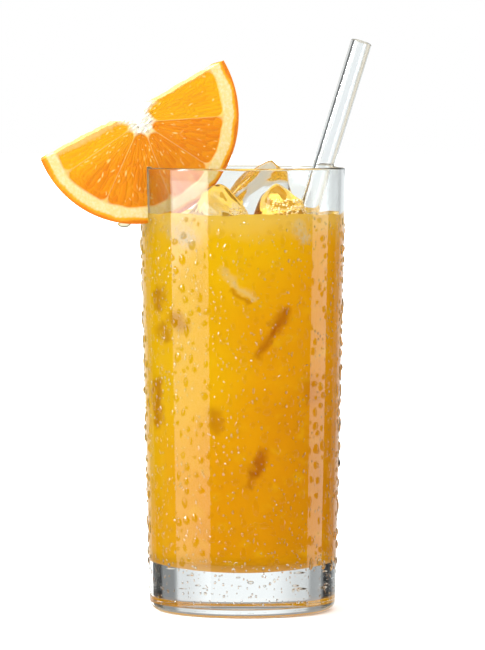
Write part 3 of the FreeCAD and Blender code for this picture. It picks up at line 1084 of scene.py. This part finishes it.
@dataclass
class OrangeSlice:
    """A little over half a wheel of orange, slit to sit over the rim.

    Its own axes are right, up and front, from the middle of the wheel. The wheel was cut in two
    just above its core, and the core's pith has torn open in a notch.
    """

    tumbler: Tumbler
    radius: float = 33.7
    thick: float = 7.0
    yaw: float = 17.1
    reach: float = 4.06
    seat_gap: float = 0.3
    slit: float = 18.1
    core: tuple[float, float] = (1.68, -1.7)
    notch: tuple[float, float] = (0.75, -3.35)
    left_cut: tuple[tuple[float, float], ...] = (
        (0.0, 122.0), (1.2, 123.0), (3.8, 150.0), (6.3, 160.5), (8.6, 174.2), (12.4, 184.6),
        (19.2, 192.4), (26.1, 196.0), (33.1, 198.2), (40.0, 200.0))
    right_cut: tuple[tuple[float, float], ...] = (
        (0.0, 417.0), (1.25, 417.5), (5.1, 432.5), (7.2, 424.0), (9.0, 415.5), (11.4, 410.0),
        (15.1, 404.8), (21.4, 400.3), (27.9, 397.9), (34.3, 396.4), (40.0, 395.5))
    skins: tuple[float, ...] = (212.9, 244.9, 292.3, 327.8, 363.8)
    rind: float = 5.4
    zest: float = 2.3
    skin: float = 0.3
    back_taper: float = 1.9
    glints: int = 120
    spokes: int = 330
    rings: int = 130
    layers: int = 14
    seed: int = 11

    def __post_init__(self) -> None:
        """Work out where the slice hangs."""
        turn = math.radians(self.yaw)
        away = self.tumbler.rim - self.tumbler.wall / 2 + self.reach
        height = self.tumbler.height + self.seat_gap + self.radius - self.slit
        self.right = np.array([math.cos(turn), math.sin(turn), 0.0])
        self.front = np.array([math.sin(turn), -math.cos(turn), 0.0])
        self.centre = -away * self.right + np.array([0.0, 0.0, height])

    def _grid(self) -> tuple[np.ndarray, np.ndarray, np.ndarray]:
        """Lay out the face's points by ring and spoke, out from the torn notch.

        Returns:
            How far right and how far up each point is, and its distance from the cut edges.
        """
        share = np.linspace(0, 1, self.rings + 1)[:, None]
        across = np.linspace(0, 1, self.spokes + 1)[None, :]
        start, guess = 0.25, 0.25 + 36.0 * share ** 0.9
        for _ in range(4):
            low = np.interp(guess, *np.array(self.left_cut).T)
            high = np.interp(guess, *np.array(self.right_cut).T)
            torn = np.clip(1.4 - guess / 12.0, 0.25, 1.0)
            rough = np.concatenate([guess, guess * 0.0], axis=-1)[:, :1]
            low = low + np.degrees(self._ragged(rough, 1) * torn * 0.35 / (guess + 1.0))
            high = high + np.degrees(self._ragged(rough, 2) * torn * 0.35 / (guess + 1.0))
            turns = np.radians(low + (high - low) * across)
            heading = np.stack([np.cos(turns), np.sin(turns)])
            pole = np.array(self.notch)[:, None, None]
            ahead = (heading * pole).sum(axis=0)
            edge = -ahead + np.sqrt(ahead ** 2 - (pole ** 2).sum() + self.radius ** 2)
            distance = start + (edge - start) * share ** 0.9
            guess = distance.mean(axis=1, keepdims=True)
        right = self.notch[0] + distance * heading[0]
        up = self.notch[1] + distance * heading[1]
        cut = np.minimum(distance * np.sin(np.clip(turns - np.radians(low), 0, math.pi / 2)),
                         distance * np.sin(np.clip(np.radians(high) - turns, 0, math.pi / 2)))
        return right, up, cut

    def _ragged(self, along: np.ndarray, seed: int) -> np.ndarray:
        """A torn edge's wandering, by the distance along it."""
        spots = np.column_stack([along.ravel(), np.zeros(along.size)])
        waves = ripple(spots, 6.0, self.seed + seed) + 0.6 * ripple(spots, 1.6, self.seed - seed)
        return waves.reshape(along.shape)

    def _zones(self, across: np.ndarray, up: np.ndarray, cut: np.ndarray
               ) -> dict[str, np.ndarray]:
        """What each point of a face is made of.

        Args:
            across, up: the points, from the middle of the wheel.
            cut: their distances from the cut edges.

        Returns:
            Numbers from 0 to 1 by name, and "fine", a small unevenness about 0.
        """
        out = np.hypot(across, up)
        flat = np.stack([across.ravel(), up.ravel()], 1)
        wave = ripple(flat, 9.0, self.seed).reshape(out.shape)
        fine = ripple(flat, 1.3, self.seed + 5, 24).reshape(out.shape)
        right, rise = across - self.core[0], up - self.core[1]
        distance = np.hypot(right, rise)
        degrees = np.degrees(np.arctan2(rise, right))
        degrees = np.where(degrees < 100, degrees + 360, degrees)
        bounds = np.array([100.0, *self.skins, 460.0])
        index = np.clip(np.searchsorted(bounds, degrees) - 1, 0, len(bounds) - 2)
        low, high = bounds[index], bounds[index + 1]
        to_low = distance * np.sin(np.radians(np.clip(degrees - low, 0, 90)))
        to_high = distance * np.sin(np.radians(np.clip(high - degrees, 0, 90)))
        first, last = index == 0, index == len(bounds) - 2
        side = np.where(first, to_high, np.where(last, to_low, np.minimum(to_low, to_high)))
        side = np.where(first | last, np.minimum(side, cut + 0.1), side)
        to_rind = self.radius - self.rind + 0.25 * wave - out
        tip = distance - (3.9 + 0.7 * np.sin(index * 2.4 + 0.6))
        blend = 1.3
        soft = -blend * np.log(np.exp(-side / blend) + np.exp(-to_rind / blend)
                               + np.exp(-tip / blend)) + 0.47 * blend
        gap = np.minimum(soft, np.minimum(side, np.minimum(to_rind, tip)) + 0.35)
        pulp = np.clip((gap - self.skin) / 0.5 + 0.5, 0, 1)
        sac, tone = cells(distance / 5.0 + 0.6 * wave, np.radians(degrees) * 15.0 + index * 7,
                          self.seed + 2)
        zest = np.clip((out - (self.radius - self.zest) + 0.3 * wave + 0.12 * fine) / 1.9, 0, 1)
        torn = np.clip(1.3 - cut / 1.3, 0, 1) * np.clip((9.0 - distance) / 3.0, 0, 1)
        core = np.clip(np.clip((5.2 - distance) / 2.4, 0, 1) + torn + 0.25 * fine * (torn > 0), 0, 1)
        edge = np.where(first | last, np.clip(1.25 - gap / 10.0, 0, 1),
                        np.where(index == 1, np.clip(0.95 - to_low / 7.0, 0, 1), 0.0))
        left_band = first * (0.35 + 1.1 * np.sin(np.clip((distance - 5) / 25, 0, 1) * math.pi))
        band = np.clip(1.2 - cut / (0.25 + left_band + 0.3 * np.abs(fine)), 0, 1)
        band = band * (to_rind > 0) * (1 - core)
        skin = np.maximum((1 - pulp) * np.clip((to_rind + 0.6) / 0.8, 0, 1), band)
        pulp = pulp * (1 - band) * (1 - torn)
        return {"pulp": pulp, "zest": zest, "tone": tone, "sac": sac, "core": core,
                "edge": edge, "skin": skin, "fine": fine,
                "glint": self._glints(right, rise, pulp * (gap > 0.8))}

    def _glints(self, right: np.ndarray, rise: np.ndarray, where: np.ndarray) -> np.ndarray:
        """Painted highlights: short bright glints that lie along the juice sacs.

        Args:
            right, rise: the points, from the core.
            where: 1 where glints may lie.

        Returns:
            1 on a glint, 0 off it.
        """
        rng = np.random.default_rng(self.seed + 9)
        glint = np.zeros(right.shape)
        wet = np.argwhere(where > 0.9)
        for row, column in wet[rng.integers(0, len(wet), self.glints)]:
            x, y = right[row, column], rise[row, column]
            reach = math.hypot(x, y)
            turn = math.atan2(y, x) + rng.normal(0, 0.35)
            ahead = (right - x) * math.cos(turn) + (rise - y) * math.sin(turn)
            aside = (rise - y) * math.cos(turn) - (right - x) * math.sin(turn)
            long, wide = rng.uniform(0.25, 1.0) * min(1.0, reach / 12), rng.uniform(0.14, 0.26)
            glint = np.maximum(glint, np.clip(1.3 - np.hypot(ahead / long, aside / wide), 0, 1)
                               * rng.uniform(0.15, 1.0))
        return glint * where

    def _relief(self, zones: dict[str, np.ndarray]) -> np.ndarray:
        """How far a face stands out from its flat plane: skins proud, sacs plump, core torn."""
        plump = np.sqrt(np.clip(zones["sac"], 0, 0.5) / 0.5) * 0.16 - 0.3
        edge = -np.clip(zones["zest"] - 0.75, 0, 1) * 1.2
        torn = zones["core"] * (0.35 * zones["fine"] - 0.4)
        return zones["pulp"] * (plump + 0.1 * zones["glint"]) + edge + torn - 0.1

    def build(self) -> bpy.types.Object:
        """Make the slice, cut it where the wall of the tumbler passes and hang it up.

        Returns:
            The slice.
        """
        across, up, cut = self._grid()
        zones = self._zones(across, up, cut)
        patch = self._skin_mesh(np.stack([across, up], -1), self._relief(zones), zones)
        piece = patch.piece("orange_slice_cut", 60.0)
        combine(piece, [cutter_wall(self.tumbler)], "DIFFERENCE", "EXACT")
        piece.data.set_sharp_from_angle(angle=math.radians(60.0))
        return seat(piece, FruitFinish().material(), "orange_fruit", "orange_slice")

    def _hang(self, plane: np.ndarray, out: np.ndarray) -> np.ndarray:
        """Bring points of the slice into the frame of the whole.

        Args:
            plane: how far right and up each point is.
            out: how far to the front it is.

        Returns:
            The points, drawn in a little towards the back.
        """
        depth = np.clip((self.thick / 2 - out) / self.thick, 0, 1)
        away = np.hypot(plane[:, 0], plane[:, 1])
        drawn = 1 - self.back_taper * depth * np.clip((away - 18) / 15, 0, 1) / np.maximum(away, 1)
        plane = plane * drawn[:, None]
        return (self.centre + plane[:, :1] * self.right + plane[:, 1:2] * np.array([0, 0, 1.0])
                + out[:, None] * self.front)

    def _skin_mesh(self, flat: np.ndarray, relief: np.ndarray, zones: dict[str, np.ndarray]
                   ) -> Patch:
        """Close the two faces with a strip that runs round the outline.

        Args:
            flat: the face's points by ring and spoke.
            relief: how far each stands out.
            zones: what each point is made of.

        Returns:
            The closed slice.
        """
        rings, spokes, _ = flat.shape
        half, count = self.thick / 2, flat.shape[0] * flat.shape[1]
        names = ("pulp", "zest", "tone", "sac", "core", "edge", "skin", "glint")
        sheets = [self._hang(flat.reshape(-1, 2), sign * (half + relief.ravel()))
                  for sign in (1, -1)]
        numbers = {name: [zones[name].ravel()] * 2 for name in names}
        faces = []
        for start in (0, count):
            faces += [(start + i * spokes + j, start + i * spokes + j + 1,
                       start + (i + 1) * spokes + j + 1, start + (i + 1) * spokes + j)
                      for i in range(rings - 1) for j in range(spokes - 1)]
        loop = np.array([(rings - 1, j) for j in range(spokes)]
                        + [(i, spokes - 1) for i in range(rings - 2, -1, -1)]
                        + [(0, j) for j in range(spokes - 2, -1, -1)]
                        + [(i, 0) for i in range(1, rings - 1)])
        rows = [loop[:, 0] * spokes + loop[:, 1]]
        plane, rim = flat[loop[:, 0], loop[:, 1]], relief[loop[:, 0], loop[:, 1]]
        away = np.hypot(plane[:, 0], plane[:, 1])
        outer = np.clip((away - self.radius + 0.4) / 0.4, 0, 1)
        heading = plane / np.maximum(away, 1e-6)[:, None]
        for layer in range(1, self.layers):
            share = 1 - 2 * layer / self.layers
            bulge = math.sqrt(1 - share ** 2)
            level = np.full(len(plane), share * half)
            rough = ripple(np.column_stack([plane, level]), 2.6, 21)
            pores = ripple(np.column_stack([plane, level]), 1.5, 23, 30)
            lift = outer * (0.35 * bulge - 0.35 + 0.05 * pores) + (1 - outer) * rough * 0.3 * bulge
            rows.append(np.arange(len(loop)) + sum(len(sheet) for sheet in sheets))
            sheets.append(self._hang(plane + heading * lift[:, None], share * (half + rim)))
            for name in names:
                value = zones[name][loop[:, 0], loop[:, 1]]
                numbers[name].append(np.maximum(value, outer) if name == "zest" else value)
        rows.append(rows[0] + count)
        ends = np.roll(np.arange(len(loop)), -1)
        for upper, lower in zip(rows[:-1], rows[1:]):
            faces += np.stack([upper, upper[ends], lower[ends], lower], 1).tolist()
        return Patch(np.concatenate(sheets), faces,
                     {name: np.concatenate(values) for name, values in numbers.items()})


class DropSize(Enum):
    """The two kinds of drop: how many, and their least and greatest half width."""

    LARGE = (1100, 0.55, 1.4)
    FINE = (2600, 0.16, 0.44)


@dataclass
class Dew:
    """Condensation on the outside of the tumbler: large drops and a fine mist."""

    tumbler: Tumbler
    top: float
    seed: int = 3
    sink: float = 0.1
    sparse: float = 15.0
    sparse_size: float = 0.6
    skew: float = 1.3
    running: float = 0.2
    apart: float = 0.1
    placed: list[tuple[float, float, float]] = field(default_factory=list)

    def _sizes(self, rng: np.random.Generator, kind: DropSize) -> tuple[float, float, float]:
        """Choose the sizes of one drop; some have begun to run and are taller.

        Args:
            rng: the source of random numbers.
            kind: large or fine.

        Returns:
            Its half width, half height and thickness.
        """
        _, least, most = kind.value
        half = least + (most - least) * rng.random() ** self.skew
        tall = half * rng.uniform(0.9, 1.35)
        if rng.random() < self.running:
            tall = half * rng.uniform(1.5, 2.1)
            half *= 0.85
        return half, tall, half * rng.uniform(0.34, 0.56)

    def _drop(self, turn: float, height: float, half: float, tall: float, thick: float,
              rng: np.random.Generator) -> Patch:
        """One closed lens that follows the wall.

        Args:
            turn, height: where its middle is.
            half, tall, thick: its sizes.
            rng: the source of random numbers.

        Returns:
            The lens.
        """
        big = max(half, tall)
        around, rings = (8, 2) if big < 0.4 else (8, 3) if big < 0.9 else (12, 4)
        angles = np.arange(around) * 2 * math.pi / around
        lobes = 1 + 0.1 * np.sin(2 * angles + rng.uniform(0, 6)) + 0.06 * np.sin(
            3 * angles + rng.uniform(0, 6))
        sag = rng.uniform(0.0, 0.25)
        spots = [(0.0, 0.0, thick)]
        for ring in range(1, rings + 1):
            share = math.sin(math.pi / 2 * ring / rings)
            rise = thick * math.cos(math.pi / 2 * ring / rings) ** 0.9
            for angle, lobe in zip(angles, lobes):
                right = share * half * lobe * math.cos(angle)
                up = share * tall * lobe * math.sin(angle)
                up -= sag * tall * (1 - share ** 2) * 0.5
                right *= 1 - sag * 0.5 * math.sin(angle)
                spots.append((right, up, rise if ring < rings else 0.0))
        for angle, lobe in zip(angles, lobes):
            right = 0.97 * half * lobe * math.cos(angle) * (1 - sag * 0.5 * math.sin(angle))
            spots.append((right, 0.97 * tall * lobe * math.sin(angle), -self.sink))
        spots.append((0.0, 0.0, -self.sink))
        points = []
        for right, up, out in spots:
            level = height + up
            reach = self.tumbler.outer(level)
            spin = turn + right / reach
            points.append(((reach + out) * math.cos(spin), (reach + out) * math.sin(spin), level))
        faces = [(0, 1 + i, 1 + (i + 1) % around) for i in range(around)]
        for ring in range(rings):
            near, far = 1 + ring * around, 1 + (ring + 1) * around
            faces += [(near + i, far + i, far + (i + 1) % around, near + (i + 1) % around)
                      for i in range(around)]
        last, tip = 1 + rings * around, 1 + (rings + 1) * around
        faces += [(last + i, tip, last + (i + 1) % around) for i in range(around)]
        return Patch(np.array(points), faces)

    def scatter(self, kind: DropSize) -> Patch:
        """Scatter one kind of drop, none touching another.

        Args:
            kind: large drops or fine ones.

        Returns:
            All of them as one patch.
        """
        count, low, reach = kind.value[0], self.tumbler.heel + 0.4, self.tumbler.rim
        rng = np.random.default_rng(self.seed + count)
        drops = []
        for _ in range(count * 6):
            if len(drops) >= count:
                break
            half, tall, thick = self._sizes(rng, kind)
            turn = rng.uniform(0, 2 * math.pi)
            height = rng.uniform(low + tall, self.top - tall)
            if height < self.sparse and tall > self.sparse_size:
                continue
            spot = (turn * reach, height, max(half, tall))
            if any(math.hypot(spot[0] - x, spot[1] - y) < spot[2] + r + self.apart
                   for x, y, r in self.placed):
                continue
            self.placed.append(spot)
            drops.append(self._drop(turn, height, half, tall, thick, rng))
        return Patch.joined(drops)

    def build(self) -> bpy.types.Object:
        """Make the fine mist between the large drops."""
        piece = self.scatter(DropSize.FINE).piece("dew_mist")
        finish = ClearFinish("dew_water", Clear.WATER, roughness=0.25, wave=0.01, wave_scale=0.5,
                             glint=1.0, glint_index=1.9)
        return seat(piece, finish.material(), "clear_glass")


@dataclass
class Froth:
    """Small beads of foam that cling to the ice and the wall at the drink's surface."""

    tumbler: Tumbler
    level: float
    ice: Sequence[IceBlock]
    count: int = 260
    bead: tuple[float, float] = (0.14, 0.42)
    seed: int = 8

    def build(self) -> bpy.types.Object:
        """Scatter the beads.

        Returns:
            All of them as one piece.
        """
        rng = np.random.default_rng(self.seed)
        left, _, right = self.ice
        spots = np.concatenate([right.spots(self.level - 0.5, self.level + 5.5, 9.0, 21.0),
                                left.spots(self.level - 0.5, self.level + 3.0, -4.0, 3.0)])
        spots = spots[rng.permutation(len(spots))[:self.count]]
        turns = rng.uniform(0, 2 * math.pi, self.count // 2)
        reach = self.tumbler.inner(self.level) - rng.uniform(0.2, 1.4, len(turns))
        edge = np.stack([reach * np.cos(turns), reach * np.sin(turns),
                         np.full(len(turns), self.level + 0.3)], 1)
        beads = [self._bead(spot, rng.uniform(*self.bead)) for spot in np.concatenate([spots, edge])]
        piece = Patch.joined(beads).piece("froth")
        return seat(piece, FrothFinish().material(), "orange_juice")

    @staticmethod
    def _bead(centre: np.ndarray, radius: float, around: int = 8, rings: int = 5) -> Patch:
        """One round bead."""
        arc = np.linspace(-math.pi / 2, math.pi / 2, rings + 1)
        path = np.stack([np.cos(arc) * radius, np.sin(arc) * radius], 1)
        ball = lathe(path, around)
        ball.points = ball.points + centre
        return ball


@dataclass
class HangingDrop:
    """A drop of juice that hangs under the slice's rind."""

    place: Point = (-37.1, -10.6, 122.3)
    half: Point = (2.1, 1.5, 1.15)
    flat_top: float = 0.45

    def build(self) -> bpy.types.Object:
        """Make the drop, flat above and full below.

        Returns:
            The drop.
        """
        arc = np.linspace(-math.pi / 2, math.pi / 2, 15)
        path = np.stack([np.cos(arc), np.where(arc > 0, self.flat_top, 1.0) * np.sin(arc)], 1)
        ball = lathe(path, 32)
        ball.points = ball.points * np.array(self.half) + np.array(self.place)
        finish = ClearFinish("drop_of_juice", Clear.WATER, (1.0, 0.9, 0.62), wave=0.01,
                             wave_scale=0.5)
        return seat(ball.piece("hanging_drop"), finish.material(), "orange_juice")


# ----------------------------------------------------------------------------- the studio


@dataclass(frozen=True)
class Panel:
    """A lit patch of the surroundings, in degrees.

    Turn is 0 at the back, 90 on the right and -90 on the left. Rise is 0 level with the glass,
    and a panel without a rise is a whole column. A cap is a brighter top of the panel.
    """

    turn: tuple[float, float]
    turn_fade: float
    light: float
    rise: tuple[float, float] | None = None
    rise_fade: float = 1.5
    cap: tuple[float, float, float] | None = None

    def shine(self, turn: Wire, rise: Wire) -> Wire:
        """How brightly the panel shines.

        Args:
            turn, rise: the direction that is looked in.

        Returns:
            Its light in that direction.
        """
        light = turn.band(*self.turn, self.turn_fade)
        if self.rise:
            light = light * rise.band(*self.rise, self.rise_fade)
        if self.cap:
            low, high, extra = self.cap
            return light * (rise.step(low, high) * extra + self.light)
        return light * self.light


@dataclass
class Studio:
    """A white studio: soft panels left and right, a bright back and a pale floor."""

    target: float = 0.090
    camera_height: float = 0.168
    camera_back: float = 1.505
    lens: float = 264.0
    zenith: float = 1.3
    below: float = 0.86
    around: float = 0.03
    ceiling: float = 0.3
    key: Point = (-0.20, -0.42, 0.36)
    fill: float = 1.50
    dimmest: float = 0.3
    cool: Colour = (0.95, 0.99, 1.0)
    table: Colour = (0.84, 0.78, 0.64)
    walls: tuple[Panel, ...] = (
        Panel((-30.0, 30.0), 6.0, 0.46), Panel((-10.0, 10.0), 17.0, 0.31),
        Panel((-46.0, 46.0), 4.0, 0.25),
        Panel((67.0, 93.0), 1.2, 2.0, (-8.3, 16.0), 0.7),
        Panel((-140.0, -92.0), 1.2, 2.1, (-10.0, 16.0), cap=(-4.6, -4.0, 3.0)),
        Panel((-91.0, -66.0), 3.0, 0.1, (-9.0, 16.0)))
    overhead: tuple[Panel, ...] = (
        Panel((-70.0, 70.0), 5.0, 0.9, (34.0, 42.0)),
        Panel((-120.0, -98.0), 1.0, 80.0, (21.0, 35.0), 1.0))

    def camera(self) -> None:
        """Set the camera level with the upper part of the glass, looking slightly down."""
        data = bpy.data.cameras.new("camera")
        data.lens = self.lens
        data.sensor_width = 36.0
        data.clip_end = 50.0
        thing = bpy.data.objects.new("camera", data)
        thing.location = (0.0, -self.camera_back, self.camera_height)
        aim = Vector((0.0, 0.0, self.target)) - thing.location
        thing.rotation_euler = aim.to_track_quat("-Z", "Y").to_euler()
        bpy.context.scene.collection.objects.link(thing)
        bpy.context.scene.camera = thing

    def floor(self) -> None:
        """Lay a wide pale floor that fades into the background."""
        mesh = bpy.data.meshes.new("floor")
        work = bmesh.new()
        bmesh.ops.create_circle(work, cap_ends=True, segments=96, radius=9.0)
        work.to_mesh(mesh)
        work.free()
        thing = bpy.data.objects.new("floor", mesh)
        bpy.context.scene.collection.objects.link(thing)
        thing.location.z = -0.0002
        thing.visible_glossy = False
        thing.visible_transmission = False

        def dress(graph: Graph) -> dict:
            """Nodes for a faint mottling of the floor."""
            return {"Base Color": graph.mix(graph.noise(0.004), (0.93, 0.93, 0.93),
                                            (0.97, 0.97, 0.97))}

        mesh.materials.append(new_material("floor_white", {"Roughness": 0.9}, dress))

    def world(self) -> None:
        """Light the scene from its surroundings, which the camera itself sees as plain white."""
        world = bpy.data.worlds.new("studio")
        world.use_nodes = True
        bpy.context.scene.world = world
        graph = Graph(world.node_tree)
        ray = graph.node("ShaderNodeTexCoord", out="Generated")
        right, back, up = ray.parts()
        turn = right.apply("ARCTAN2", back) * (180 / math.pi)
        rise = up.apply("ARCSINE") * (180 / math.pi)
        ring = sum((panel.shine(turn, rise) for panel in self.walls), self.around)
        ceiling = sum((panel.shine(turn, rise) for panel in self.overhead), self.ceiling)
        dark = rise.step(12.0, 19.0)
        sky = rise.step(56.0, 62.0)
        ground = rise.step(-10.5, -16.0)
        level = ring * (1.0 - dark) + ceiling * dark
        sharp = level * (1.0 - sky) * (1.0 - ground) + sky * self.zenith + ground * self.below
        key = right * self.key[0] + back * self.key[1] + up * self.key[2]
        soft = (key + self.fill).apply("MAXIMUM", self.dimmest)
        path = graph.raw("ShaderNodeLightPath", {}, {})
        seen = Wire(graph, path.outputs["Is Camera Ray"])
        scattered = Wire(graph, path.outputs["Diffuse Depth"]).apply("GREATER_THAN", 0.5)
        level = soft * scattered + sharp * (1.0 - scattered)
        strength = level * (1.0 - seen) + seen
        near = rise.band(-42.0, -17.0, 4.0)
        cool = graph.mix(near, self.cool, self.table)
        cool = graph.mix(seen.apply("MAXIMUM", scattered), cool, (1.0, 1.0, 1.0))
        shade = graph.node("ShaderNodeBackground", {}, {"Color": cool, "Strength": strength})
        graph.raw("ShaderNodeOutputWorld", {}, {"Surface": shade})

    def build(self) -> None:
        """Set up the camera, the floor, the light and how deep light is followed."""
        self.camera()
        self.floor()
        self.world()
        scene = bpy.context.scene
        scene.view_settings.view_transform = "Standard"
        scene.cycles.max_bounces = 20
        scene.cycles.transmission_bounces = 20
        scene.cycles.glossy_bounces = 8
        scene.cycles.diffuse_bounces = 4
        scene.cycles.use_denoising = True
        scene.cycles.sample_clamp_indirect = 8.0


def cutter_wall(tumbler: Tumbler, spare: float = 0.05) -> bpy.types.Object:
    """The part of the wall that the slice straddles, a little thinner than the real wall.

    Args:
        tumbler: the glass.
        spare: how much thinner it is on either side.

    Returns:
        A closed ring to cut with.
    """
    low, high = tumbler.height - 40.0, tumbler.height + 0.2
    ring = rounded_path([(tumbler.outer(low) - spare, low, 0.0),
                         (tumbler.rim - spare, high, 0.0),
                         (tumbler.rim - tumbler.wall + spare, high, 0.0),
                         (tumbler.inner(low) + spare, low, 0.0)])
    return lathe(spread(ring, 6.0), tumbler.turns, closed=True).piece("wall_room")


def main() -> None:
    """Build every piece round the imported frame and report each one."""
    logging.basicConfig(level=logging.INFO, format="%(name)s: %(message)s")
    _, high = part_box("glass")
    tumbler = Tumbler(height=high[2] / MM, rim=32.5)
    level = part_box("juice")[1][2] / MM
    dew = Dew(tumbler, level + 1.0)
    tumbler.build(dew.scatter(DropSize.LARGE).piece("large_drops"))
    ice = [
        IceBlock("ice_left", (25.0, 16.0, 25.5), (-8.8, -16.6, level - 2.2), 17.0, -6.0, 31,
                 taper=0.62, peak=3.0),
        IceBlock("ice_back", (24.0, 20.0, 27.5), (6.2, 13.8, level + 3.8), 0.0, 13.0, 41,
                 taper=0.28, round_power=2.05),
        IceBlock("ice_right", (23.0, 17.0, 23.0), (14.4, -11.0, level - 2.4), 0.0, 14.0, 53,
                 taper=0.5, peak=-5.0),
    ]
    for block in ice:
        block.build()
    Drink(tumbler, level, ice).build()
    Straw((-13.0, -10.0, 16.2), (25.6, 9.8, 140.0)).build()
    OrangeSlice(tumbler).build()
    Froth(tumbler, level, ice).build()
    HangingDrop().build()
    dew.build()
    Studio().build()


if __name__ == "__main__":
    main()
